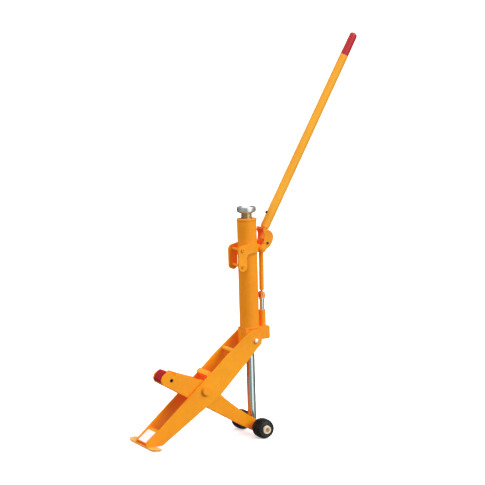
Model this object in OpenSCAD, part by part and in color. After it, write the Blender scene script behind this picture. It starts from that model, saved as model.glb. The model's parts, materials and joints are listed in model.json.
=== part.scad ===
// Hydraulic fork-truck jack: a scissor frame on two small wheels, an upright
// cylinder with a screw saddle, a side pump and a long pump lever.
// Origin: middle of the foot plate underside, +X toward the wheels, +Z up,
// symmetric in Y.

/* [Scissor frame] */
// Distance from the centre pivot to the cylinder trunnion and to the axle
arm_half = 272; // [240:1:300]
// Slope of the foot frame above the floor, degrees
frame_slope = 39.1; // [34:0.1:44]
// Slope of the lift arm down to the axle, degrees
arm_slope = 35.5; // [30:0.1:40]
// Outer face of the foot frame plates from the middle plane
frame_half_w = 50; // [46:0.5:60]
// Outer face of the lift arm plates from the middle plane
arm_half_w = 39; // [36:0.5:40]
// Thickness of all the side plates
plate_t = 8; // [6:0.5:10]
// Radius of the centre pivot shaft
pivot_r = 15; // [12:0.5:18]

/* [Foot] */
// Length of the foot plate across the jack
foot_w = 228; // [180:1:260]
// Depth of the foot plate along the jack
foot_d = 37; // [30:1:60]
// Thickness of the foot plate
foot_t = 7; // [5:0.5:10]

/* [Wheels] */
// Wheel diameter
wheel_d = 75; // [60:1:100]
// Tread width
wheel_w = 62; // [50:1:70]
// Middle plane of each wheel from the middle of the jack
track_half = 87; // [86:1:100]
// Axle radius
axle_r = 10; // [8:0.5:14]

/* [Cylinder] */
// Outside diameter of the reservoir tube
tube_d = 74; // [60:1:90]
// Top of the reservoir tube above the trunnion
tube_top = 455; // [400:1:500]
// Diameter of the lift ram
ram_d = 32; // [26:1:40]
// Bore of the pressure tube
bore_d = 42; // [36:1:46]
// Length from the axle to the top of the piston
ram_len = 512; // [480:1:514]
// Diameter of the saddle disc
saddle_d = 73; // [50:1:90]

/* [Pump] */
// Distance of the pump from the cylinder axis
pump_x = 56; // [50:1:66]
// Diameter of the pump plunger
plunger_d = 18; // [12:1:22]
// Height of the plunger pin above the trunnion
pump_pin_z = 169; // [150:1:190]
// Lever fulcrum, distance from the cylinder axis
fulcrum_x = 51; // [50:0.5:60]
// Lever fulcrum, height above the trunnion
fulcrum_z = 343; // [320:1:360]

/* [Lever] */
// Lean of the lever from vertical, degrees
lever_lean = 28.2; // [0:0.1:40]
// Start of the lever tube beyond the fulcrum
lever_start = 75; // [75:1:100]
// End of the lever tube beyond the fulcrum
lever_end = 809; // [600:1:900]
// Length of the grip
grip_len = 94; // [60:1:120]

/* [View] */
// Sub-part to show

/* [Hidden] */
$fn = 48;
fine = 72;
run = 0.05;
frame_in = frame_half_w - plate_t;
arm_in = arm_half_w - plate_t;
wheel_r = wheel_d / 2;
pivot_x = 225.5;
pivot_z = wheel_r + arm_half * sin(arm_slope);
trunnion_x = pivot_x + arm_half * cos(frame_slope);
trunnion_z = pivot_z + arm_half * sin(frame_slope);
axle_x = pivot_x + arm_half * cos(arm_slope);
axle_z = wheel_r;
cyl_lean = atan((axle_x - trunnion_x) / (trunnion_z - axle_z));
link_pin_r = 4.5;
cap_t = 36;
plug_z = 396;
screw_r = 21;
arm_dir = 29.5;
axle_s = arm_half * cos(arm_slope - arm_dir);
axle_n = -arm_half * sin(arm_slope - arm_dir);
tube_r = tube_d / 2;
ram_r = ram_d / 2;
bore_r = bore_d / 2;
lever_tilt = lever_lean + cyl_lean;
lever_off = -18;
link_x = fulcrum_x + 8;
link_z = fulcrum_z + 26;
tie_x = fulcrum_x + 21;
tie_z = fulcrum_z + 21;
link_tilt = atan((link_x - pump_x) / (link_z - pump_pin_z));
link_len = norm([link_x - pump_x, link_z - pump_pin_z]);
hole_s = -143;
hole_n = -24;
tie_at = [[-43.4, 348], [-43.4, 287]];

orange = [0.95, 0.58, 0.10];
red = [0.72, 0.10, 0.14];
chrome = [0.82, 0.86, 0.84];
zinc = [0.78, 0.70, 0.42];
cream = [0.86, 0.80, 0.66];
steel = [0.55, 0.55, 0.55];
black = [0.08, 0.08, 0.08];

// ---- placing helpers --------------------------------------------------

// foot frame coordinates: X along the frame, Z square to it
module on_frame() translate([pivot_x, 0, pivot_z]) rotate([0, -frame_slope, 0]) children();

// lift arm coordinates: X toward the axle, Z square to the lower edge
module on_arm() translate([pivot_x, 0, pivot_z]) rotate([0, arm_dir, 0]) children();

// cylinder coordinates: Z up the cylinder axis from the trunnion
module on_cyl() translate([trunnion_x, 0, trunnion_z]) rotate([0, -cyl_lean, 0]) children();

// ram coordinates: Z up the ram axis from the axle
module on_ram() translate([axle_x, 0, axle_z]) rotate([0, -cyl_lean, 0]) children();

// lever coordinates: Z along the lever from the fulcrum
module on_lever() on_cyl() translate([fulcrum_x, 0, fulcrum_z])
    rotate([0, lever_tilt, 0]) children();

// a flat plate of the XZ outline between two Y faces
module slab(y0, y1) rotate([90, 0, 0]) translate([0, 0, -y1])
    linear_extrude(y1 - y0) children();

// a round bar along Y
module rod_y(r, y0, y1) translate([0, y0, 0]) rotate([-90, 0, 0])
    cylinder(r = r, h = y1 - y0, $fn = fine);

// a tube along Y
module ring_y(ro, ri, y0, y1) difference() {
    rod_y(ro, y0, y1);
    rod_y(ri, y0 - 1, y1 + 1);
}

// the same solid on both sides of the middle plane
module both() {
    children();
    mirror([0, 1, 0]) children();
}

// a tube or solid along Z turned from a half outline
module turned() rotate_extrude($fn = fine) children();

// ---- foot frame -------------------------------------------------------

module frame_outline() polygon([[-300, -187], [-310, 10], [-300, 16], [-230, 20], [-128, 26],
    [-20, 32], [30, 34], [70, 35], [150, 41], [266, 42], [280, 8], [266, -26], [191, -37],
    [70, -52], [37, -56], [10, -56], [-38, -50], [-269, -33]]);

// side plate with a round top end and its lower end cut level on the foot
module frame_side(y0, y1) difference() {
    intersection() {
        on_frame() {
            slab(y0, y1) frame_outline();
            translate([268, 0, 8]) rod_y(34.5, y0, y1);
        }
        translate([-20.5, -80, foot_t]) cube([560, 160, 600]);
    }
    on_frame() {
        rod_y(pivot_r, y0 - 1, y1 + 1);
        translate([arm_half, 0, 0]) rod_y(6.5, y0 - 1, y1 + 1);
    }
}

module frame_plate_near() color(orange) frame_side(-frame_half_w, -frame_in);

module frame_plate_far() color(orange) frame_side(frame_in, frame_half_w);

// bearing plate with rounded tips that rise a little at both ends
module foot_plate() color(orange) intersection() {
    translate([-foot_d / 2, 0, 0]) linear_extrude(foot_t + 8) {
        translate([0, -foot_w / 2 + 12]) square([foot_d, foot_w - 24]);
        for (side = [-1, 1]) translate([0, side * (foot_w / 2 - 12)]) {
            translate([12, 0]) circle(r = 12);
            translate([foot_d - 12, 0]) circle(r = 12);
            translate([12, -12]) square([foot_d - 24, 24]);
        }
    }
    translate([-30, 0, 0]) rotate([90, 0, 90]) linear_extrude(60) polygon([
        [-foot_w / 2, 6], [-95, 2], [-70, 0], [70, 0], [95, 2], [foot_w / 2, 6],
        [foot_w / 2, foot_t + 6], [95, foot_t + 2], [70, foot_t], [-70, foot_t],
        [-95, foot_t + 2], [-foot_w / 2, foot_t + 6]]);
}

module foot_cross_plate() color(orange) on_frame()
    translate([-299, -frame_in, 5]) cube([71, 2 * frame_in, 8]);

module blank_label() color([0.95, 0.95, 0.93]) on_frame()
    translate([-296, -frame_in + 17, 13]) cube([54, 2 * frame_in - 20, 0.5]);

module cross_bar() color(orange) on_frame()
    translate([40, -frame_in, 22]) cube([21, 2 * frame_in, 20]);

module cross_tube() color(orange) on_frame() translate([182, 0, 31])
    ring_y(8, 5, -frame_in, frame_in);

module pivot_shaft() color(steel) translate([pivot_x, 0, pivot_z]) difference() {
    rod_y(pivot_r, -59, 59);
    for (side = [-1, 1]) translate([0, side * 57, 0]) ring_y(pivot_r + 1, pivot_r - 1.2, -0.9, 0.9);
}

module pivot_washers() color(orange) translate([pivot_x, 0, pivot_z])
    both() ring_y(17.5, pivot_r, frame_half_w, 55.8);

module pivot_clips() color(orange) translate([pivot_x, 0, pivot_z])
    both() ring_y(pivot_r + 1.6, pivot_r - 1.2, 56.2, 57.8);

// shoulder pin: thick shank in the base block, thinner neck through the plate, domed head
module trunnion_bolts() color(cream) translate([trunnion_x, 0, trunnion_z]) both() {
    rod_y(12, 23, frame_in);
    rod_y(6.5, frame_in, frame_half_w);
    rotate([-90, 0, 0]) translate([0, 0, frame_half_w]) turned() difference() {
        union() {
            square([8.8, 5]);
            translate([0, 5]) intersection() {
                translate([0, -12]) circle(r = 15, $fn = fine);
                square([8.8, 3]);
            }
        }
        translate([-40, -2]) square([40, 20]);
    }
}

// ---- lift arm ---------------------------------------------------------

module arm_outline() polygon([[-177, -11], [-168, -3], [-160, -1], [-150, -3],
    [-143, -7], [-137, 9], [-100, 15], [-62, 22], [-25, 30], [0, 32], [24, 28], [73, 13], [120, 4], [170, -3], [215, -7],
    [axle_s, axle_n + 20.5], [axle_s + 10, axle_n], [axle_s, axle_n - 20.5], [255, -53],
    [-168, -53], [-180, -43], [-183, -26]]);

module arm_side(y0, y1) on_arm() difference() {
    union() {
        slab(y0, y1) arm_outline();
        translate([axle_s, 0, axle_n]) rod_y(21, y0, y1);
    }
    rod_y(23, y0 - 1, y1 + 1);
    translate([axle_s, 0, axle_n]) rod_y(axle_r, y0 - 1, y1 + 1);
    translate([hole_s, 0, hole_n]) rod_y(7, y0 - 1, y1 + 1);
}

module arm_plate_near() color(orange) arm_side(-arm_half_w, -arm_in);

module arm_plate_far() color(orange) arm_side(arm_in, arm_half_w);

// stiffener plates welded between the two arm plates
module arm_web() color(orange) on_arm() {
    translate([-112, -arm_in, -51]) cube([84, 2 * arm_in, 7]);
    translate([34, -arm_in, -51]) cube([166, 2 * arm_in, 7]);
    translate([-104, -arm_in, -4]) cube([58, 2 * arm_in, 7]);
}

module pivot_sleeve() color(orange) translate([pivot_x, 0, pivot_z])
    ring_y(23, 18, -arm_half_w, arm_half_w);

module pivot_bushes() color(zinc) translate([pivot_x, 0, pivot_z])
    both() ring_y(18, pivot_r + run, 12, arm_half_w + 0.5);

// forged nose between the arm plates with a raised lip
module toe_outline() polygon([[-134, -50], [-134, 0], [-150, 1], [-160, 1], [-172, -1],
    [-178, -4], [-185, -14], [-188, -27], [-185.5, -39], [-179, -46.5], [-168, -50]]);

module toe_plan() {
    translate([-166, -arm_in]) square([60, 2 * arm_in]);
    translate([-175, -26.5]) square([40, 53]);
    translate([-188, -15]) square([60, 30]);
    for (side = [-1, 1]) translate([-169.5, side * 8]) circle(r = 18.5, $fn = fine);
}

module toe_solid() intersection() {
    slab(-arm_in, arm_in) toe_outline();
    translate([0, 0, -60]) linear_extrude(80) toe_plan();
}

module toe_block() color(orange) on_arm() difference() {
    intersection() {
        toe_solid();
        translate([-173, -40, -60]) cube([80, 80, 80]);
    }
    translate([hole_s, 0, hole_n]) rod_y(6.5, -40, 40);
}

module toe_cap() color(red) on_arm() intersection() {
    toe_solid();
    translate([-213, -40, -60]) cube([40, 80, 80]);
}

// spring pin that holds the nose, with a hollow centre
module toe_pin() color(black) on_arm() translate([hole_s, 0, hole_n])
    ring_y(6.5, 4, -arm_half_w + 1.5, arm_half_w - 1.5);

module axle() color(steel) translate([axle_x, 0, axle_z]) rod_y(axle_r, -121, 121);

module axle_spacers() color(orange) translate([axle_x, 0, axle_z])
    both() ring_y(14, axle_r, arm_half_w, track_half - wheel_w / 2 - 4);

// end washers that close the axle outside the wheels
module axle_caps() color(cream) translate([axle_x, 0, axle_z]) both()
    difference() {
        rod_y(15, 120, 123.5);
        rod_y(axle_r, 118, 121);
        rod_y(8, 122, 125);
    }

// ---- wheels -----------------------------------------------------------

// fat solid tyre with rounded shoulders and three ring grooves
module tyre() rotate([90, 0, 0]) turned() difference() {
    intersection() {
        translate([16, -wheel_w / 2]) square([wheel_r - 16, wheel_w]);
        polygon([[0, -wheel_w / 2 - 1], [wheel_r - 10.6, -wheel_w / 2 - 1],
            [wheel_r - 6.7, -wheel_w / 2 + 2.4], [wheel_r - 3.9, -wheel_w / 2 + 6.6],
            [wheel_r - 1.6, -wheel_w / 2 + 11.6], [wheel_r - 0.4, -wheel_w / 2 + 16.4],
            [wheel_r, -wheel_w / 2 + 21], [wheel_r, wheel_w / 2 - 21],
            [wheel_r - 0.4, wheel_w / 2 - 16.4], [wheel_r - 1.6, wheel_w / 2 - 11.6],
            [wheel_r - 3.9, wheel_w / 2 - 6.6], [wheel_r - 6.7, wheel_w / 2 - 2.4],
            [wheel_r - 10.6, wheel_w / 2 + 1], [0, wheel_w / 2 + 1]]);
    }
    for (side = [-1, 1]) translate([22, side * wheel_w / 2]) circle(r = 2, $fn = 16);
    for (groove = [-1, 0, 1]) translate([wheel_r, groove * 8]) square([2.4, 1.6], center = true);
}

// bearing hub that stands out on the outer side
module hub() rotate([90, 0, 0]) turned() polygon([[axle_r + run, -wheel_w / 2 - 3.5],
    [13.5, -wheel_w / 2 - 3.5], [14, -wheel_w / 2], [16, -wheel_w / 2], [16, wheel_w / 2],
    [14.5, wheel_w / 2], [14, wheel_w / 2 + 1.5], [axle_r + run, wheel_w / 2 + 1.5]]);

module tyre_near() color(black) translate([axle_x, -track_half, axle_z]) tyre();

module tyre_far() color(black) translate([axle_x, track_half, axle_z])
    mirror([0, 1, 0]) tyre();

module hub_near() color(cream) translate([axle_x, -track_half, axle_z]) hub();

module hub_far() color(cream) translate([axle_x, track_half, axle_z])
    mirror([0, 1, 0]) hub();

// ---- ram --------------------------------------------------------------

module ram_rod() color(chrome) on_ram() difference() {
    union() {
        translate([0, 0, 14]) cylinder(r = ram_r, h = ram_len - 44, $fn = fine);
        translate([0, 0, ram_len - 31]) cylinder(r = 12, h = 31, $fn = fine);
        rod_y(22, -18, 18);
    }
    rod_y(axle_r + run, -20, 20);
}

module piston() color(steel) on_ram() translate([0, 0, ram_len - 30]) turned() difference() {
    translate([12, 0]) square([bore_r - run - 12, 30]);
    translate([bore_r - 3.5, 11]) square([5, 8]);
}

module piston_seal() color(black) on_ram() translate([0, 0, ram_len - 19]) turned()
    translate([bore_r - 3.5, 0]) square([3.45, 8]);

module ram_spacers() color(steel) translate([axle_x, 0, axle_z])
    both() ring_y(15, axle_r, 18.4, arm_in);

// ---- cylinder ---------------------------------------------------------

module cylinder_tube() color(orange) on_cyl() difference() {
    translate([0, 0, 46]) turned() translate([tube_r - 4, 0]) square([4, tube_top - 46]);
    translate([0, 20, plug_z]) rotate([-90, 0, 0]) cylinder(r = 4, h = 30);
}

module pressure_tube() color(steel) on_cyl() translate([0, 0, 46]) turned()
    translate([bore_r, 0]) square([5, tube_top - cap_t - 46]);

// screwed top collar with a threaded middle for the saddle screw
module top_cap() color(orange) on_cyl() difference() {
    union() {
        translate([0, 0, tube_top]) turned() polygon([[0, 0], [tube_r + 1, 0], [tube_r + 1.5, 1],
            [tube_r + 1.5, 5], [tube_r, 7], [0, 7]]);
        translate([0, 0, tube_top - cap_t]) cylinder(r = tube_r - 4, h = cap_t, $fn = fine);
    }
    translate([0, 0, tube_top - 26]) cylinder(r = screw_r + run, h = 60, $fn = fine);
}

module base_block() color(orange) on_cyl() difference() {
    union() {
        translate([-33, -33, -20]) cube([66, 66, 66]);
        translate([0, 0, 25]) cylinder(r = tube_r, h = 21, $fn = fine);
        translate([20, -21, -3]) cube([54, 42, 49]);
        translate([74, -17, 1]) cube([4, 34, 41]);
        rod_y(20, -40, 40);
    }
    translate([0, 0, -60]) cylinder(r = ram_r + run, h = 120, $fn = fine);
    translate([0, 0, -21]) cylinder(r = 22, h = 15, $fn = fine);
    for (side = [-1, 1]) rotate([0, 0, side * 90]) rotate([0, 90, 0])
        translate([0, 0, 22.3]) cylinder(r = 15, h = 30, $fn = fine);
    translate([66, 4, 16]) rotate([-90, 0, 0]) cylinder(r = 5 + run, h = 30);
    translate([pump_x, 0, 28]) cylinder(r = plunger_d / 2 + run, h = 40, $fn = fine);
}

module gland_nut() color(steel) on_cyl() difference() {
    union() {
        translate([0, 0, -20]) cylinder(r = 22, h = 14, $fn = fine);
        translate([0, 0, -28]) cylinder(r = 27, h = 8, $fn = 6);
    }
    translate([0, 0, -40]) cylinder(r = ram_r + run, h = 50, $fn = fine);
}

module trunnion_bushes() color(zinc) translate([trunnion_x, 0, trunnion_z])
    both() ring_y(15, 12 + run, 22.6, 40.5);

module pump_barrel() color(orange) on_cyl() translate([pump_x, 0, 46]) turned() difference() {
    polygon([[0, 0], [13, 0], [13, 60], [11.5, 62], [0, 62]]);
    translate([-1, -1]) square([plunger_d / 2 + run + 1, 66]);
}

// release valve with a cross-drilled knob, on the far side of the pump foot
module release_screw() color(steel) on_cyl() translate([66, 4.3, 16]) rotate([-90, 0, 0]) {
    difference() {
        union() {
            cylinder(r = 5, h = 20);
            translate([0, 0, 20]) cylinder(r = 9, h = 12);
        }
        translate([-15, 0, 26]) rotate([0, 90, 0]) cylinder(r = 2, h = 30);
    }
}

module filler_plug() color(black) on_cyl() translate([0, tube_r - 4, plug_z]) rotate([-90, 0, 0])
    difference() {
        union() {
            cylinder(r = 4, h = 5);
            translate([0, 0, 4]) cylinder(r = 7, h = 5);
        }
        translate([0, 0, 6]) cylinder(r = 3.4, h = 5, $fn = 6);
    }

// ---- saddle -----------------------------------------------------------

module saddle_screw() color(zinc) on_cyl() translate([0, 0, tube_top - 24]) turned() difference() {
    polygon([[0, 0], [screw_r - 2, 0], [screw_r, 2], [screw_r, 48], [screw_r - 1.5, 49.6],
        [8, 49.6], [8, 69], [0, 69]]);
    for (groove = [0 : 4]) translate([screw_r, 33 + groove * 2.8]) rotate(45)
        square([1.2, 1.2], center = true);
}

// dished disc that turns on the spigot of the screw
module saddle() color(chrome) on_cyl() translate([0, 0, tube_top + 26]) turned() polygon([
    [8.1, 0], [24, 0], [saddle_d / 2 - 3, 5], [saddle_d / 2, 9], [saddle_d / 2, 21],
    [saddle_d / 2 - 2, 25], [saddle_d / 2 - 6, 25], [26, 20], [8.1, 20]]);

// ---- lever bracket ----------------------------------------------------

// side of the cheek: band past the cylinder, leg in front of it, ear for the fulcrum
module cheek_outline() polygon([[-60, 287], [-60, 349], [-52, 361], [-30, 367], [0, 371],
    [19, 370], [40, 362], [fulcrum_x, fulcrum_z + 14.5], [fulcrum_x + 10, fulcrum_z],
    [fulcrum_x, fulcrum_z - 14.5], [40, 330], [19, 336], [-16, 331], [-26, 321], [-26, 287]]);

// plan of the cheek: bent round the tube and on to a narrower ear
module cheek_plan() difference() {
    polygon([[-61, 34], [-61, 45], [14, 45], [24, 39], [32, 27], [35.5, 22], [67, 22], [67, 14],
        [20, 14], [20, 34]]);
    circle(r = tube_r, $fn = fine);
}

module cheek() on_cyl() difference() {
    intersection() {
        union() {
            slab(10, 50) cheek_outline();
            translate([-43, 0, 285]) rod_y(17.1, 10, 50);
            translate([fulcrum_x, 0, fulcrum_z]) rod_y(15, 10, 50);
        }
        translate([0, 0, 250]) linear_extrude(140) cheek_plan();
    }
    for (at = tie_at) translate([at[0], 0, at[1]]) rod_y(4, 0, 60);
    translate([fulcrum_x, 0, fulcrum_z]) rod_y(8, 0, 60);
}

module bracket_far() color(orange) cheek();

module bracket_near() color(orange) mirror([0, 1, 0]) cheek();

// tubes that space the two cheeks in front of the cylinder
module bracket_spacers() color(orange) on_cyl() for (at = tie_at)
    translate([at[0], 0, at[1]]) ring_y(5.6, 4, -34, 34);

module bracket_bolts() color(orange) on_cyl() for (at = tie_at)
    translate([at[0], 0, at[1]]) {
        rod_y(4, -45, 52);
        difference() {
            rod_y(6, -50, -45);
            translate([0, -51, 0]) rotate([-90, 0, 0]) cylinder(r = 2.8, h = 4.5, $fn = 6);
        }
    }

module bracket_nuts() color(steel) on_cyl() for (at = tie_at)
    translate([at[0], 45, at[1]]) rotate([-90, 0, 0]) difference() {
        cylinder(r = 7.5, h = 5, $fn = 6);
        translate([0, 0, -1]) cylinder(r = 4, h = 10);
    }

// two stub pins, so that the link passes between them
module fulcrum_pins() color(steel) on_cyl() translate([fulcrum_x, 0, fulcrum_z]) both()
    rotate([-90, 0, 0]) turned() polygon([[0, 14], [8, 14], [8, 31], [6, 33], [0, 33]]);

// ---- pump drive -------------------------------------------------------

// plunger with a forked top for the link
module plunger() color(chrome) on_cyl() difference() {
    union() {
        translate([pump_x, 0, 60]) cylinder(r = plunger_d / 2, h = 98, $fn = fine);
        translate([pump_x, 0, pump_pin_z]) rod_y(9, -12, 12);
        translate([pump_x - 9, -12, 154]) cube([18, 24, 15]);
        translate([pump_x, 0, 148]) cylinder(r = 11, h = 6, $fn = fine);
    }
    translate([pump_x - 15, -5.6, 157]) cube([30, 11.2, 30]);
    translate([pump_x, 0, pump_pin_z]) rod_y(4.5, -20, 20);
}

module plunger_pin() color(steel) on_cyl() translate([pump_x, 0, pump_pin_z])
    rod_y(4.5, -14, 14);

module link_rod() color(orange) on_cyl() translate([pump_x, 0, pump_pin_z])
    rotate([0, link_tilt, 0]) difference() {
        union() {
            rod_y(8.5, -5, 5);
            translate([0, 0, 6]) cylinder(r = 4.4, h = 10, $fn = fine);
            translate([0, 0, 14]) cylinder(r = 9, h = link_len - 20, $fn = fine);
            translate([0, 0, link_len]) rod_y(10.5, -8, 8);
        }
        rod_y(4.5 + run, -20, 20);
        translate([0, 0, link_len]) rod_y(link_pin_r + 3, -20, 20);
    }

// ---- lever ------------------------------------------------------------

// crescent side plate from the fulcrum eye up to the bridge
module crescent() difference() {
    union() {
        circle(r = 14, $fn = fine);
        polygon([[-12, -6], [-11, 14], [-10, 30], [-18, 50], [-30, 62], [-34, 72], [-34, lever_start],
            [-5, lever_start], [-2, 75], [10, 71], [20, 60], [24.5, 44], [24, 24], [12, 0]]);
    }
    circle(r = 8 + run, $fn = fine);
    rotate(lever_tilt) translate([link_x - fulcrum_x, link_z - fulcrum_z])
        circle(r = link_pin_r, $fn = fine);
    rotate(lever_tilt) translate([tie_x - fulcrum_x, tie_z - fulcrum_z])
        circle(r = 4, $fn = fine);
}

// two crescents joined by the bridge that carries the lever tube
module lever_head() color(orange) on_lever() {
    both() slab(22.4, 27.4) crescent();
    translate([-34, -22.4, 66]) cube([32, 44.8, lever_start - 66]);
}

module lever_eye_bushes() color(orange) on_lever() both()
    ring_y(13, 8 + run, 27.4, 30.4);

module link_pin() color(steel) on_cyl() translate([link_x, 0, link_z]) rod_y(link_pin_r, -29, 29);

module side_screws() color(black) on_cyl() translate([tie_x, 0, tie_z]) both() {
    rod_y(4, 22.4, 27.4);
    rod_y(4.6, 27.4, 30);
}

// tapered tube on a narrow neck
module lever_tube() color(orange) on_lever() translate([lever_off, 0, lever_start]) difference() {
    turned() polygon([[0, 0], [13.5, 0], [13.5, 5], [17.6, 5], [17.6, 62], [16.4, lever_end - lever_start],
        [0, lever_end - lever_start]]);
    translate([0, 0, 20]) cylinder(r = 13.4, h = lever_end, $fn = fine);
    translate([0, 0, 59]) rotate([0, -90, 0]) cylinder(r = 3, h = 30);
}

module lever_screw() color(black) on_lever() translate([lever_off, 0, lever_start + 59])
    rotate([0, -90, 0]) {
        translate([0, 0, 10]) cylinder(r = 3, h = 7.7);
        translate([0, 0, 17.7]) cylinder(r = 5, h = 5);
    }

module grip() color(red) on_lever() translate([lever_off, 0, lever_end - 20]) turned() polygon([
    [0, 0], [13.4, 0], [13.4, 20], [15.4, 20], [15.6, 22], [15.2, grip_len + 6],
    [14, grip_len + 14], [11, grip_len + 18.5], [6, grip_len + 20], [0, grip_len + 20]]);

// ---- choose -----------------------------------------------------------

frame_plate_near();
frame_plate_far();
foot_plate();
foot_cross_plate();
blank_label();
cross_bar();
cross_tube();
pivot_shaft();
pivot_washers();
pivot_clips();
trunnion_bolts();
arm_plate_near();
arm_plate_far();
arm_web();
pivot_sleeve();
pivot_bushes();
toe_block();
toe_cap();
toe_pin();
axle();
axle_spacers();
axle_caps();
tyre_near();
hub_near();
tyre_far();
hub_far();
ram_rod();
piston();
piston_seal();
ram_spacers();
cylinder_tube();
pressure_tube();
top_cap();
base_block();
gland_nut();
trunnion_bushes();
pump_barrel();
release_screw();
filler_plug();
saddle_screw();
saddle();
bracket_near();
bracket_far();
bracket_spacers();
bracket_bolts();
bracket_nuts();
fulcrum_pins();
plunger();
plunger_pin();
link_rod();
lever_head();
lever_eye_bushes();
link_pin();
side_screws();
lever_tube();
lever_screw();
grip();
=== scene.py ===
import json
import math
import bpy
import bmesh
from mathutils import Matrix, Vector


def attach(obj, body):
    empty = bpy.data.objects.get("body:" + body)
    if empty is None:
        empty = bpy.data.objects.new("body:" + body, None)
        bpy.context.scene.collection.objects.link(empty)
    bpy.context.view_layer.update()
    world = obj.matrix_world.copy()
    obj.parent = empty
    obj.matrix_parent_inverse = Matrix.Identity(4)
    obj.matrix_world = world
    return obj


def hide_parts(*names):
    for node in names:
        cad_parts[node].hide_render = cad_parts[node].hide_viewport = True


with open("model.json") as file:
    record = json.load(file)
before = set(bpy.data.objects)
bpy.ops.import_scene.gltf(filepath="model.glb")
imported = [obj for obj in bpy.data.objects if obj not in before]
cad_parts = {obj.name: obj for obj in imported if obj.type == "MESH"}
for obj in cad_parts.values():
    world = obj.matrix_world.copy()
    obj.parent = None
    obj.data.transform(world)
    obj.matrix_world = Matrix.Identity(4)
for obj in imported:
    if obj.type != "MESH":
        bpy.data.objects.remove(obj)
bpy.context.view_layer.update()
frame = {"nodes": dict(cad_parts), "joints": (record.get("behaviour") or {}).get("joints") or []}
MM = 0.001
NODES = frame["nodes"]
JOINT = {j["name"]: j for j in frame["joints"]}
LEVER_TILT = math.radians(28.2)  # lean of the lever at rest


# ---- places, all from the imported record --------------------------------

def at(name):
    return Vector(JOINT[name]["pos_m"])


C, T, R, F = at("scissor"), at("cylinder_swing"), at("ram_swing"), at("lever_swing")


def basis(origin, x, z):
    """Matrix of a local frame from its origin and its X and Z directions, scaled to take millimetres."""
    x, z = Vector(x).normalized(), Vector(z).normalized()
    y = z.cross(x)
    m = Matrix((x, y, z)).transposed().to_4x4()
    m.translation = origin
    return m @ Matrix.Scale(MM, 4)


up = (T - R).normalized()
CYL = basis(T, (up.z, 0, -up.x), up)
slope = math.atan2(T.z - C.z, T.x - C.x)
FRM = basis(C, (math.cos(slope), 0, math.sin(slope)), (-math.sin(slope), 0, math.cos(slope)))
LEV = basis(F, (math.cos(LEVER_TILT), 0, -math.sin(LEVER_TILT)),
            (math.sin(LEVER_TILT), 0, math.cos(LEVER_TILT)))


def y_axis(origin, side=-1):
    """Local frame whose Z runs outward along the world Y axis on one side."""
    return basis(origin, (1, 0, 0), (0, side, 0))


# ---- materials ----------------------------------------------------------

def tree(name):
    m = bpy.data.materials.new(name)
    m.use_nodes = True
    t = m.node_tree
    t.nodes.clear()
    out = t.nodes.new("ShaderNodeOutputMaterial")
    sh = t.nodes.new("ShaderNodeBsdfPrincipled")
    t.links.new(sh.outputs[0], out.inputs[0])
    return m, t, sh


def node(t, kind, **settings):
    n = t.nodes.new("ShaderNode" + kind)
    for k, v in settings.items():
        setattr(n, k, v)
    return n


def noise(t, vec, scale, detail=4, rough=0.55, distort=0.0):
    n = node(t, "TexNoise")
    n.inputs["Scale"].default_value = scale
    n.inputs["Detail"].default_value = detail
    n.inputs["Roughness"].default_value = rough
    n.inputs["Distortion"].default_value = distort
    t.links.new(vec, n.inputs["Vector"])
    return n.outputs["Fac"]


def ramp(t, fac, stops):
    n = node(t, "ValToRGB")
    while len(n.color_ramp.elements) < len(stops):
        n.color_ramp.elements.new(0.5)
    for e, (pos, col) in zip(n.color_ramp.elements, stops):
        e.position = pos
        e.color = (col, col, col, 1) if isinstance(col, (int, float)) else (*col, 1)
    t.links.new(fac, n.inputs[0])
    return n.outputs[0]


def mix(t, fac, c1, c2):
    n = node(t, "Mix", data_type="RGBA")
    for sock, val in ((n.inputs[0], fac), (n.inputs[6], c1), (n.inputs[7], c2)):
        if isinstance(val, (int, float)):
            sock.default_value = val
        elif isinstance(val, tuple):
            sock.default_value = (*val, 1)
        else:
            t.links.new(val, sock)
    return n.outputs[2]


def math_node(t, op, x, y=None, clamp=False):
    n = node(t, "Math", operation=op)
    n.use_clamp = clamp
    for sock, val in ((n.inputs[0], x), (n.inputs[1], y)):
        if val is None:
            continue
        if isinstance(val, (int, float)):
            sock.default_value = val
        else:
            t.links.new(val, sock)
    return n.outputs[0]


def bump(t, sh, height, strength, distance):
    n = node(t, "Bump")
    n.inputs["Strength"].default_value = strength
    n.inputs["Distance"].default_value = distance
    t.links.new(height, n.inputs["Height"])
    t.links.new(n.outputs[0], sh.inputs["Normal"])


def coords(t):
    return node(t, "TexCoord").outputs["Object"]


def edge_mask(t, radius, lo, hi):
    """White where the surface bends within the radius, as on plate edges."""
    bev = node(t, "Bevel", samples=4)
    bev.inputs["Radius"].default_value = radius
    geo = node(t, "NewGeometry")
    dot = node(t, "VectorMath", operation="DOT_PRODUCT")
    t.links.new(bev.outputs[0], dot.inputs[0])
    t.links.new(geo.outputs["Normal"], dot.inputs[1])
    inv = math_node(t, "SUBTRACT", 1.0, dot.outputs["Value"], clamp=True)
    return ramp(t, inv, [(lo, 0.0), (hi, 1.0)])


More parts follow.
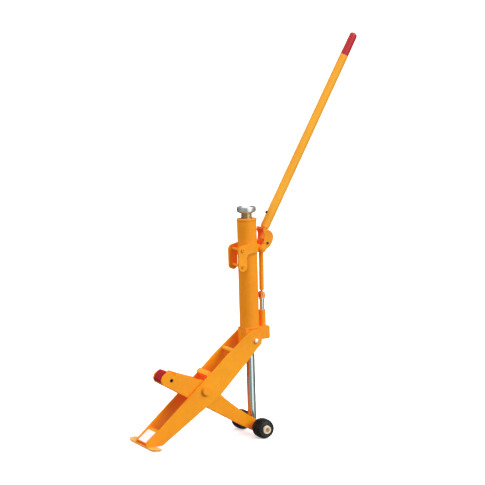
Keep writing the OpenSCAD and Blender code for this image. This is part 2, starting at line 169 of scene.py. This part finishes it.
def enamel(name, colour, dark, chip=(0.30, 0.12, 0.03), gloss=0.28, wear=0.5, shade=(0.92, 0.150, 0.028),
           coat=0.10):
    """Glossy sprayed enamel: slow colour drift, orange peel, a pale dust haze and thin edge wear, with
    painted shade and a faint painted glow in the recesses.
    """
    m, t, sh = tree(name)
    co = coords(t)
    drift = ramp(t, noise(t, co, 5.0, 3, 0.5), [(0.35, 0.0), (0.68, 1.0)])
    col = mix(t, drift, colour, dark)
    fine = ramp(t, noise(t, co, 60.0, 5, 0.6), [(0.45, 0.0), (0.75, 1.0)])
    dust_and_shade = mix(t, math_node(t, "MULTIPLY", fine, 0.30), col, tuple(min(1, 1.16 * c) for c in colour))
    grime = ramp(t, noise(t, co, 13.0, 6, 0.7, 0.6), [(0.52, 0.0), (0.74, 1.0)])
    dust_and_shade = mix(t, math_node(t, "MULTIPLY", grime, 0.24), dust_and_shade, tuple(0.72 * c for c in dark))
    edge = edge_mask(t, 0.0016, 0.02, 0.16)
    speck = ramp(t, noise(t, co, 75.0, 5, 0.7), [(0.48, 0.0), (0.56, 1.0)])
    worn = math_node(t, "MULTIPLY", math_node(t, "MULTIPLY", edge, speck), wear)
    # painted shade: where ambient occlusion finds a recess, the colour is mixed toward the deep red shade
    # colour
    nook_occlusion = node(t, "AmbientOcclusion", samples=6)
    nook_occlusion.inputs["Distance"].default_value = 0.20
    painted_nook_shade = ramp(t, nook_occlusion.outputs["AO"], [(0.22, 1.0), (0.50, 0.0)])
    dust_and_shade = mix(t, painted_nook_shade, dust_and_shade, shade)
    t.links.new(mix(t, worn, dust_and_shade, chip), sh.inputs["Base Color"])
    # painted glow: the same recesses give off a faint light in the shade colour, though nothing there is a
    # lamp
    sh.inputs["Emission Color"].default_value = (*shade, 1)
    t.links.new(math_node(t, "MULTIPLY", painted_nook_shade, 0.15), sh.inputs["Emission Strength"])
    rough = ramp(t, noise(t, co, 22.0, 5, 0.65), [(0.3, gloss - 0.06), (0.75, gloss + 0.16)])
    t.links.new(math_node(t, "ADD", rough, math_node(t, "MULTIPLY", worn, 0.3)), sh.inputs["Roughness"])
    sh.inputs["Coat Weight"].default_value = coat
    sh.inputs["Coat Roughness"].default_value = 0.12
    sh.inputs["Specular IOR Level"].default_value = 0.16
    peel = math_node(t, "ADD", noise(t, co, 420.0, 2, 0.5),
                     math_node(t, "MULTIPLY", noise(t, co, 45.0, 3, 0.5), 0.8))
    bump(t, sh, math_node(t, "SUBTRACT", peel, math_node(t, "MULTIPLY", worn, 0.6)), 0.22, 0.0006)
    return m


def metal(name, colour, rough=0.2, streak=(1, 1, 1), scale=220.0, bump_k=0.10, tint=None,
          rough_var=0.12, metallic=1.0, zone=None):
    """Bare or plated metal with brushed or polished micro marks along one direction.
    zone(tree, coords) gives a mask and the colour, metalness and roughness found inside it."""
    m, t, sh = tree(name)
    co = coords(t)
    mp = node(t, "Mapping")
    mp.inputs["Scale"].default_value = streak
    t.links.new(co, mp.inputs["Vector"])
    marks = noise(t, mp.outputs[0], scale, 4, 0.6)
    cloud = noise(t, co, 30.0, 3, 0.6)
    dark = tuple(c * 0.82 for c in colour)
    col = mix(t, ramp(t, cloud, [(0.3, 0.0), (0.75, 1.0)]), colour, tint or dark)
    sh.inputs["Metallic"].default_value = metallic
    r = ramp(t, math_node(t, "ADD", math_node(t, "MULTIPLY", marks, 0.6),
                          math_node(t, "MULTIPLY", cloud, 0.4)),
             [(0.3, max(0.02, rough - rough_var * 0.5)), (0.75, rough + rough_var)])
    if zone:
        mask, inner, metal_in, rough_in = zone(t, co)
        col = mix(t, mask, col, inner)
        t.links.new(ramp(t, mask, [(0.0, metallic), (1.0, metal_in)]), sh.inputs["Metallic"])
        r = math_node(t, "ADD", r, math_node(t, "MULTIPLY", mask, rough_in))
    t.links.new(col, sh.inputs["Base Color"])
    t.links.new(r, sh.inputs["Roughness"])
    bump(t, sh, marks, bump_k, 0.0003)
    return m


def axle_recess_shade(t, co):
    """Painted shade inside the recess of the axle end washers: dark brown around the axle end."""
    gap = node(t, "VectorMath", operation="SUBTRACT")
    t.links.new(co, gap.inputs[0])
    gap.inputs[1].default_value = (R.x, 0, R.z)
    flat = node(t, "VectorMath", operation="MULTIPLY")
    t.links.new(gap.outputs[0], flat.inputs[0])
    flat.inputs[1].default_value = (1, 0, 1)
    far = node(t, "VectorMath", operation="LENGTH")
    t.links.new(flat.outputs[0], far.inputs[0])
    mask = ramp(t, far.outputs["Value"], [(0.0077, 1.0), (0.0083, 0.0)])
    return mask, (0.36, 0.20, 0.09), 0.2, 0.2


def plunger_eye(t, co):
    """Top eye of the plunger: sprayed orange with the link, above the bright shank."""
    gap = node(t, "VectorMath", operation="SUBTRACT")
    t.links.new(co, gap.inputs[0])
    gap.inputs[1].default_value = (0, 0, CYL.translation.z)
    sep = node(t, "SeparateXYZ")
    t.links.new(gap.outputs[0], sep.inputs[0])
    mask = ramp(t, sep.outputs["Z"], [(EYE_Z - 0.0005, 0.0), (EYE_Z + 0.0005, 1.0)])
    return mask, (0.80, 0.27, 0.01), 0.0, 0.25


def rubbery(name, colour, dust, rough=0.6, grain=600.0, dust_k=0.35):
    """Rubber with a fine moulded grain and a dusty bloom."""
    m, t, sh = tree(name)
    co = coords(t)
    bloom = ramp(t, noise(t, co, 26.0, 5, 0.65), [(0.42, 0.0), (0.78, 1.0)])
    t.links.new(mix(t, math_node(t, "MULTIPLY", bloom, dust_k), colour, dust), sh.inputs["Base Color"])
    t.links.new(ramp(t, noise(t, co, 70.0, 4, 0.6), [(0.3, rough - 0.12), (0.8, rough + 0.14)]),
                sh.inputs["Roughness"])
    sh.inputs["Specular IOR Level"].default_value = 0.4
    bump(t, sh, math_node(t, "ADD", noise(t, co, grain, 2, 0.5),
                          math_node(t, "MULTIPLY", noise(t, co, 90.0, 3, 0.5), 0.7)), 0.35, 0.0006)
    return m


def paper(name):
    m, t, sh = tree(name)
    co = coords(t)
    stain = ramp(t, noise(t, co, 40.0, 4, 0.6), [(0.4, 0.0), (0.85, 1.0)])
    t.links.new(mix(t, math_node(t, "MULTIPLY", stain, 0.25), (0.86, 0.86, 0.84), (0.62, 0.60, 0.54)),
                sh.inputs["Base Color"])
    sh.inputs["Roughness"].default_value = 0.42
    bump(t, sh, noise(t, co, 900.0, 2, 0.5), 0.15, 0.0002)
    return m


EYE_Z = 0.156           # lower end of the plunger's eye above the cylinder pivot, metres
ORANGE, ORANGE_D = (0.82, 0.318, 0.005), (0.76, 0.258, 0.005)
M = {
    "orange": enamel("enamel_orange", ORANGE, ORANGE_D),
    "orange_cast": enamel("enamel_cast", (0.79, 0.300, 0.006), (0.74, 0.240, 0.006), gloss=0.34),
    "orange_tube": enamel("enamel_tube", (0.80, 0.290, 0.006), (0.78, 0.255, 0.006), gloss=0.36, wear=0.3,
                          coat=0.05),
    "orange_lever": enamel("enamel_lever", (0.80, 0.370, 0.028), (0.78, 0.330, 0.020), gloss=0.32, wear=0.3),
    # foot plate: a paler, yellower copy of the orange enamel, painted top light
    "orange_foot_toplit": enamel("enamel_foot_toplit", (0.78, 0.470, 0.120), (0.72, 0.400, 0.070), (0.42, 0.38, 0.30),
                          0.40, 0.8),
    "red_coat": enamel("toe_coating", (0.40, 0.010, 0.016), (0.32, 0.008, 0.014), (0.16, 0.01, 0.012),
                       0.34, 0.7, (0.30, 0.01, 0.015)),
    "red_grip": rubbery("grip_rubber", (0.44, 0.009, 0.016), (0.46, 0.03, 0.03), 0.42, 700.0, 0.2),
    "chrome": metal("hard_chrome", (0.66, 0.80, 0.77), 0.10, (1, 1, 0.05), 260.0, 0.04,
                    (0.60, 0.73, 0.71), 0.08),
    "plunger": metal("plunger_chrome", (0.70, 0.80, 0.78), 0.12, (1, 1, 0.05), 260.0, 0.04,
                     (0.62, 0.73, 0.71), 0.08, zone=plunger_eye),
    "saddle_chrome": metal("saddle_chrome", (0.82, 0.91, 0.88), 0.32, (1, 1, 1), 300.0, 0.10,
                           (0.66, 0.71, 0.70), 0.14),
    "zinc": metal("yellow_zinc", (0.72, 0.60, 0.30), 0.30, (1, 1, 1), 240.0, 0.12, (0.50, 0.45, 0.30)),
    "cream": metal("pale_zinc", (0.84, 0.76, 0.58), 0.38, (1, 1, 1), 200.0, 0.12, (0.74, 0.62, 0.44),
                   metallic=0.55),
    # axle end washers: pale zinc with painted shade in the recess around the axle end
    "cap": metal("axle_cap_zinc", (0.84, 0.76, 0.58), 0.38, (1, 1, 1), 200.0, 0.12, (0.74, 0.62, 0.44),
                 metallic=0.55, zone=axle_recess_shade),
    "steel": metal("turned_steel", (0.54, 0.54, 0.53), 0.28, (1, 1, 1), 320.0, 0.12),
    "bronze": metal("bronze_bush", (0.60, 0.40, 0.20), 0.34, (1, 1, 1), 260.0, 0.15),
    "black": metal("black_oxide", (0.035, 0.033, 0.032), 0.42, (1, 1, 1), 260.0, 0.15,
                   (0.06, 0.05, 0.045), metallic=0.7),
    "tyre": rubbery("tyre_rubber", (0.007, 0.008, 0.009), (0.05, 0.052, 0.055), 0.30, 520.0, 0.15),
    "seal": rubbery("seal_rubber", (0.02, 0.02, 0.02), (0.08, 0.08, 0.08), 0.45, 500.0, 0.2),
    "paper": paper("blank_sticker"),
    "weld": enamel("enamel_weld", (0.79, 0.30, 0.006), (0.73, 0.23, 0.006), gloss=0.36, wear=0.2),
}


def dress(obj, mat):
    obj.data.materials.clear()
    obj.data.materials.append(M[mat])


# ---- mesh helpers -------------------------------------------------------

def soften(obj, width, segments=2, angle=32):
    """Round the edges with modifiers; the mesh itself stays as it is."""
    w = obj.modifiers.new("weld", "WELD")
    w.merge_threshold = 1e-6
    d = obj.modifiers.new("flat", "DECIMATE")
    d.decimate_type, d.angle_limit = "DISSOLVE", math.radians(0.8)
    b = obj.modifiers.new("round", "BEVEL")
    b.width, b.segments, b.limit_method = width, segments, "ANGLE"
    b.angle_limit = math.radians(angle)
    b.use_clamp_overlap = True
    b.harden_normals = False
    n = obj.modifiers.new("shade", "WEIGHTED_NORMAL")
    n.weight, n.keep_sharp = 60, False


def put(name, verts, faces, matrix, body, mat, smooth=True, replaces=()):
    me = bpy.data.meshes.new(name)
    me.from_pydata([matrix @ Vector(v) for v in verts], [], faces)
    me.update()
    bm = bmesh.new()
    bm.from_mesh(me)
    bmesh.ops.remove_doubles(bm, verts=bm.verts, dist=1e-7)
    bmesh.ops.recalc_face_normals(bm, faces=bm.faces)
    bm.to_mesh(me)
    bm.free()
    me.polygons.foreach_set("use_smooth", [smooth] * len(me.polygons))
    o = bpy.data.objects.new(name, me)
    bpy.context.scene.collection.objects.link(o)
    dress(o, mat)
    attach(o, body)
    if replaces:
        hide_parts(*replaces)
    return o


def bead(name, points, matrix, body, radius=2.2, closed=False):
    """Rippled weld bead swept along points."""
    pts = [Vector(p) for p in points]
    if closed:
        pts.append(pts[0])
    path, run = [], 0.0
    for a, b in zip(pts, pts[1:]):
        d = (b - a).length
        n = max(1, int(d / 0.8))
        for k in range(n):
            path.append((a.lerp(b, k / n), run + d * k / n))
        run += d
    if not closed:
        path.append((pts[-1], run))
    m, sides, pitch = len(path), 10, 2.4
    verts, faces = [], []
    for i, (p, s) in enumerate(path):
        prev = path[i - 1][0] if i or closed else p
        nxt = path[(i + 1) % m][0] if i < m - 1 or closed else p
        tan = (nxt - prev).normalized()
        ref = Vector((0, 0, 1)) if abs(tan.z) < 0.9 else Vector((1, 0, 0))
        u = tan.cross(ref).normalized()
        v = tan.cross(u)
        r = radius * (1 + 0.10 * math.sin(2 * math.pi * s / pitch) + 0.05 * math.sin(s * 0.37 + 1.3))
        if not closed and (i == 0 or i == m - 1):
            r *= 0.45
        for k in range(sides):
            q = 2 * math.pi * k / sides
            verts.append(p + u * (r * math.cos(q)) + v * (r * math.sin(q)))
    for i in range(m if closed else m - 1):
        j = (i + 1) % m
        for k in range(sides):
            l = (k + 1) % sides
            faces.append((i * sides + k, j * sides + k, j * sides + l, i * sides + l))
    if not closed:
        faces.append(tuple(range(sides)))
        faces.append(tuple((m - 1) * sides + k for k in range(sides)))
    put(name, verts, faces, matrix, body, "weld")


def circle(r, h, n=72):
    return [(r * math.cos(2 * math.pi * i / n), r * math.sin(2 * math.pi * i / n), h) for i in range(n)]


# ---- camera, light and floor --------------------------------------------

FOCUS = 1830.0          # focal length in units of the image's 485 side
AZ, EL = math.radians(-27.58), math.radians(7.43)
U0, V0 = 200.13, 388.48  # where the centre pivot falls in the 485 x 485 picture
STEP = 0.003755         # metres for one pixel at the centre pivot
MIDDLE = 242.5
right = Vector((math.cos(AZ), math.sin(AZ), 0))
back = Vector((math.sin(AZ) * math.cos(EL), -math.cos(AZ) * math.cos(EL), math.sin(EL)))
upv = back.cross(right)
cam_data = bpy.data.cameras.new("camera")
cam = bpy.data.objects.new("camera", cam_data)
bpy.context.scene.collection.objects.link(cam)
cam.matrix_world = Matrix((right, upv, back)).transposed().to_4x4()
cam.location = C + back * (FOCUS * STEP) - right * ((U0 - MIDDLE) * STEP) + upv * ((V0 - MIDDLE) * STEP)
cam_data.sensor_width = 36
cam_data.lens = 36 * FOCUS / 485
cam_data.clip_end = 100
bpy.context.scene.camera = cam


def sun(name, direction, power, angle, colour=(1, 1, 1)):
    d = bpy.data.lights.new(name, "SUN")
    d.energy, d.angle, d.color = power, math.radians(angle), colour
    o = bpy.data.objects.new(name, d)
    bpy.context.scene.collection.objects.link(o)
    o.rotation_mode = "QUATERNION"
    o.rotation_quaternion = Vector(direction).to_track_quat("-Z", "Y")


def toward(turn_deg, el_deg):
    """Direction of travel of light that comes from a bearing measured clockwise from the camera."""
    q, e = math.radians(turn_deg), math.radians(el_deg)
    flat = Vector((back.x, back.y, 0)).normalized()
    side = Vector((right.x, right.y, 0))
    return -((flat * math.cos(q) + side * math.sin(q)) * math.cos(e) + Vector((0, 0, math.sin(e))))


sun("key", toward(60, 36), 2.6, 34, (1.0, 0.975, 0.93))
sun("fill", toward(-78, 20), 1.2, 60, (1.0, 0.80, 0.86))
sun("top", toward(-20, 82), 0.55, 60)
sun("back", toward(178, 45), 0.8, 50)

world = bpy.data.worlds.new("studio")
bpy.context.scene.world = world
world.use_nodes = True
wt = world.node_tree
sep = wt.nodes.new("ShaderNodeSeparateXYZ")
wt.links.new(wt.nodes.new("ShaderNodeTexCoord").outputs["Generated"], sep.inputs[0])
# height above the horizon as 0 to 1, and brightness
SKY = [(0.0, 0.16), (0.45, 0.30), (0.48, 1.05), (0.55, 1.0), (0.66, 0.62)]
sky = wt.nodes.new("ShaderNodeValToRGB")
while len(sky.color_ramp.elements) < len(SKY):
    sky.color_ramp.elements.new(0.5)
for e, (pos, v) in zip(sky.color_ramp.elements, SKY):
    e.position, e.color = pos, (v, v, v * 1.01, 1)
lift = wt.nodes.new("ShaderNodeMath")
lift.operation = "MULTIPLY_ADD"
lift.inputs[1].default_value = lift.inputs[2].default_value = 0.5
wt.links.new(sep.outputs["Z"], lift.inputs[0])
wt.links.new(lift.outputs[0], sky.inputs[0])
wt.links.new(sky.outputs[0], wt.nodes["Background"].inputs[0])
wt.nodes["Background"].inputs[1].default_value = 1.0
bpy.context.scene.view_settings.view_transform = "Standard"

FLOOR_HALF = 90.0       # metres, wide enough to reach the horizon in the picture
me = bpy.data.meshes.new("floor")
me.from_pydata([(x * FLOOR_HALF, y * FLOOR_HALF, -0.0002) for x, y in ((-1, -1), (1, -1), (1, 1), (-1, 1))],
               [], [(0, 1, 2, 3)])
floor = bpy.data.objects.new("floor", me)
bpy.context.scene.collection.objects.link(floor)
m, t, sh = tree("floor_pale")
t.links.new(ramp(t, noise(t, coords(t), 3.0, 3), [(0.3, 0.93), (0.8, 0.95)]), sh.inputs["Base Color"])
sh.inputs["Roughness"].default_value = 0.9
sh.inputs["Specular IOR Level"].default_value = 0.1
sh.inputs["Emission Color"].default_value = (1, 1, 1, 1)
sh.inputs["Emission Strength"].default_value = 0.42
floor.data.materials.append(m)
floor.visible_glossy = floor.visible_diffuse = False


def card(name, lo_deg, hi_deg, level, radius=1.35, z0=-2.2, z1=2.6):
    """Curved studio card seen only in reflections, on a bearing range from the camera."""
    mid = Vector((0.42, 0, 0))
    n = max(2, int(abs(hi_deg - lo_deg) / 6))
    verts = []
    for i in range(n + 1):
        d = -toward(lo_deg + (hi_deg - lo_deg) * i / n, 0)
        verts += [mid + d * radius + Vector((0, 0, z0)), mid + d * radius + Vector((0, 0, z1))]
    me = bpy.data.meshes.new(name)
    me.from_pydata(verts, [], [(2 * i, 2 * i + 2, 2 * i + 3, 2 * i + 1) for i in range(n)])
    o = bpy.data.objects.new(name, me)
    bpy.context.scene.collection.objects.link(o)
    m = bpy.data.materials.new(name)
    m.use_nodes = True
    m.node_tree.nodes.clear()
    out = m.node_tree.nodes.new("ShaderNodeOutputMaterial")
    em = m.node_tree.nodes.new("ShaderNodeEmission")
    em.inputs[0].default_value = (level, level, level, 1)
    m.node_tree.links.new(em.outputs[0], out.inputs[0])
    me.materials.append(m)
    o.visible_camera = o.visible_diffuse = o.visible_shadow = False
    o.visible_transmission = o.visible_volume_scatter = False


# bearings clockwise from the camera in degrees, and brightness
CARDS = [(-180, -152, 0.45), (-152, -128, 0.04), (-128, -100, 0.10), (-100, -60, 0.22), (-60, -20, 0.36),
         (-20, 22, 0.30), (22, 62, 1.30), (62, 100, 0.30), (100, 128, 0.10), (128, 152, 0.04),
         (152, 180, 0.45)]
for k, (lo_deg, hi_deg, level) in enumerate(CARDS):
    card(f"card_{k}", lo_deg, hi_deg, level)


# ---- CAD nodes kept, with better materials and rounded edges ------------

KEEP = {
    "frame_plate_near": ("orange", 1.6), "frame_plate_far": ("orange", 1.6),
    "foot_plate": ("orange_foot_toplit", 1.6), "foot_cross_plate": ("orange", 1.0),
    "cross_bar": ("orange_lever", 1.4), "cross_tube": ("orange_lever", 0.6), "blank_label": ("paper", 0.0),
    "pivot_shaft": ("orange", 1.0), "pivot_washers": ("orange", 1.4), "pivot_clips": ("orange", 0.3),
    "trunnion_bolts": ("cream", 0.6), "arm_plate_near": ("orange", 1.6),
    "arm_plate_far": ("orange", 1.6), "arm_web": ("orange", 1.0), "pivot_sleeve": ("orange", 0.8),
    "pivot_bushes": ("bronze", 0.3), "toe_block": ("orange_cast", 2.0), "toe_cap": ("red_coat", 3.0),
    "toe_pin": ("black", 0.3), "axle": ("steel", 0.6), "axle_spacers": ("orange", 0.6),
    "axle_caps": ("cap", 0.6), "hub_near": ("cream", 0.6), "hub_far": ("cream", 0.6),
    "tyre_near": ("tyre", 0.8), "tyre_far": ("tyre", 0.8),
    "ram_rod": ("chrome", 0.8), "piston": ("steel", 0.4), "piston_seal": ("seal", 0.3),
    "ram_spacers": ("steel", 0.5), "cylinder_tube": ("orange_tube", 0.5),
    "pressure_tube": ("steel", 0.4), "top_cap": ("orange_cast", 1.0), "base_block": ("orange_cast", 2.2),
    "gland_nut": ("steel", 1.0), "trunnion_bushes": ("bronze", 0.3), "pump_barrel": ("orange_cast", 0.9),
    "release_screw": ("steel", 0.6), "filler_plug": ("black", 0.6), "saddle_screw": ("zinc", 0.2),
    "saddle": ("saddle_chrome", 1.2), "bracket_near": ("orange", 2.0), "bracket_far": ("orange", 2.0),
    "bracket_spacers": ("orange", 0.5), "bracket_bolts": ("orange", 0.6), "bracket_nuts": ("steel", 0.6),
    "fulcrum_pins": ("orange", 0.6), "plunger": ("plunger", 0.7), "plunger_pin": ("steel", 0.5),
    "link_rod": ("orange", 0.8), "lever_head": ("orange_cast", 1.2), "lever_eye_bushes": ("orange_cast", 1.0),
    "link_pin": ("orange", 0.6), "side_screws": ("black", 0.6), "lever_tube": ("orange_lever", 1.0),
    "lever_screw": ("black", 0.6), "grip": ("red_grip", 1.2),
}
for name, (mat, width) in KEEP.items():
    dress(NODES[name], mat)
    if width:
        soften(NODES[name], width * MM)


# ---- tyres with cut tread -------------------------------------------------

def tyre(name, side):
    """Fat solid tyre: rounded shoulders, three ring grooves, wavy cross cuts and a ring on each face."""
    half, r = 31.0, 37.5
    face = [(16.02, 1.0), (17.0, 0.2), (19.6, 0.2), (20.4, 1.1), (22.0, 1.7), (23.6, 1.1), (24.4, 0.2),
            (26.4, 0.1)]
    rows = [(28.2, -30.3), (30.7, -28.6), (32.3, -26.6), (33.6, -24.4), (34.9, -22.0), (35.9, -19.4),
            (36.6, -17.0), (37.05, -14.6), (37.4, -11.8)]
    shoulder = len(rows)
    for g in (-8.0, 0.0, 8.0):
        rows += [(r, g - 2.6), (r, g - 1.1), (r - 2.2, g - 0.8), (r - 2.2, g + 0.8), (r, g + 1.1),
                 (r, g + 2.6)]
    rows += [(a, -b) for a, b in reversed(rows[:shoulder])]
    prof = [(a, -half + b) for a, b in face] + rows + [(a, half - b) for a, b in reversed(face)]
    dips = (0.0, 0.0, 0.0, 0.0, 1.6, 3.4, 3.4, 1.6)     # depth across one block and its cut
    per = len(dips)
    n = 24 * per
    verts, faces = [], []
    for i in range(n):
        for a, h in prof:
            th = 2 * math.pi * (i / n) + 0.05 * math.sin(h * math.pi / 8)
            if a > 30:
                a -= dips[i % per] * min(1.0, (a - 29) / 5)
            verts.append((a * math.cos(th), a * math.sin(th), h))
    m = len(prof)
    for i in range(n):
        k = (i + 1) % n
        for j in range(m):
            l = (j + 1) % m
            faces.append((i * m + j, k * m + j, k * m + l, i * m + l))
    near = side < 0
    put(name, verts, faces, y_axis((R.x, side * 0.087, R.z), side), "wheel_near" if near else "wheel_far",
        "tyre", smooth=False, replaces=("tyre_near" if near else "tyre_far",))


# ---- threaded saddle screw ------------------------------------------------

def thread(name, replaces):
    """Steel screw with a helical thread, a chamfered end and the spigot for the saddle."""
    pitch, root, crest, z0, z1 = 3.0, 19.2, 20.98, 2.0, 48.0
    seg, steps = 72, int((z1 - z0) / 0.5)
    verts, faces = [], []

    def ring(r_of, z):
        for i in range(seg):
            th = 2 * math.pi * i / seg
            q = r_of(th)
            verts.append((q * math.cos(th), q * math.sin(th), z))

    rings = [(lambda th: 0.001, 0.0), (lambda th: 18.6, 0.0)]
    for s in range(steps + 1):
        z = z0 + (z1 - z0) * s / steps

        def r_of(th, z=z):
            u = ((z / pitch - th / (2 * math.pi)) % 1.0)
            tri = 1 - abs(2 * u - 1)
            fade = min(1, (z1 - z) / 2 + 0.1, (z - z0) / 2 + 0.1)
            return root + (crest - root) * min(1, max(0, (tri - 0.18) / 0.55)) * max(0, fade)
        rings.append((r_of, z))
    rings += [(lambda th: 19.0, 49.0), (lambda th: 18.4, 49.6), (lambda th: 8.0, 49.6),
              (lambda th: 8.0, 68.0), (lambda th: 7.2, 69.0), (lambda th: 0.001, 69.0)]
    for f, z in rings:
        ring(f, z)
    for j in range(len(rings) - 1):
        for i in range(seg):
            k = (i + 1) % seg
            faces.append((j * seg + i, j * seg + k, (j + 1) * seg + k, (j + 1) * seg + i))
    put(name, verts, faces, CYL @ Matrix.Translation((0, 0, 431)), "screw", "zinc",
        replaces=replaces)


tyre("tyre_near_tread", -1)
tyre("tyre_far_tread", 1)
thread("saddle_screw_thread", ("saddle_screw",))

# ---- weld beads ----------------------------------------------------------

for side in (-1, 1):
    s = "near" if side < 0 else "far"
    bead(f"weld_cylinder_foot_{s}", [(38 * math.cos(q), side * 38 * math.sin(q), 46.5)
         for q in [math.pi * k / 40 for k in range(2, 39)]], CYL, "cylinder", 1.8)
    bead(f"weld_pivot_boss_{s}", circle(18.2, 50.4), y_axis((C.x, 0, C.z), side), "lift_frame", 1.5, True)
    bead(f"weld_cross_bar_{s}", [(40, side * 42, 42), (61, side * 42, 42)], FRM, "lift_frame", 1.8)
    bead(f"weld_foot_out_{s}", [(-16, side * 51, 7.8), (17, side * 51, 7.8)], Matrix.Scale(MM, 4),
         "lift_frame", 2.2)
    bead(f"weld_cross_plate_{s}", [(-294, side * 41.6, 13.4), (-233, side * 41.6, 13.4)], FRM,
         "lift_frame", 1.5)
    bead(f"weld_pump_{s}", [(56 + 13.4 * math.cos(q), side * 13.4 * math.sin(q), 46.6)
         for q in [math.pi * k / 24 for k in range(0, 25)]], CYL, "cylinder", 1.2)
    bead(f"weld_cheek_top_{s}", [(-15, side * 39, 369.2), (0, side * 38.6, 371.6), (13, side * 39, 371.0)],
         CYL, "cylinder", 2.2)
bead("weld_lever_tube", [(x - 18, y, z) for x, y, z in circle(14.0, 75.6)], LEV, "lever", 1.5, True)
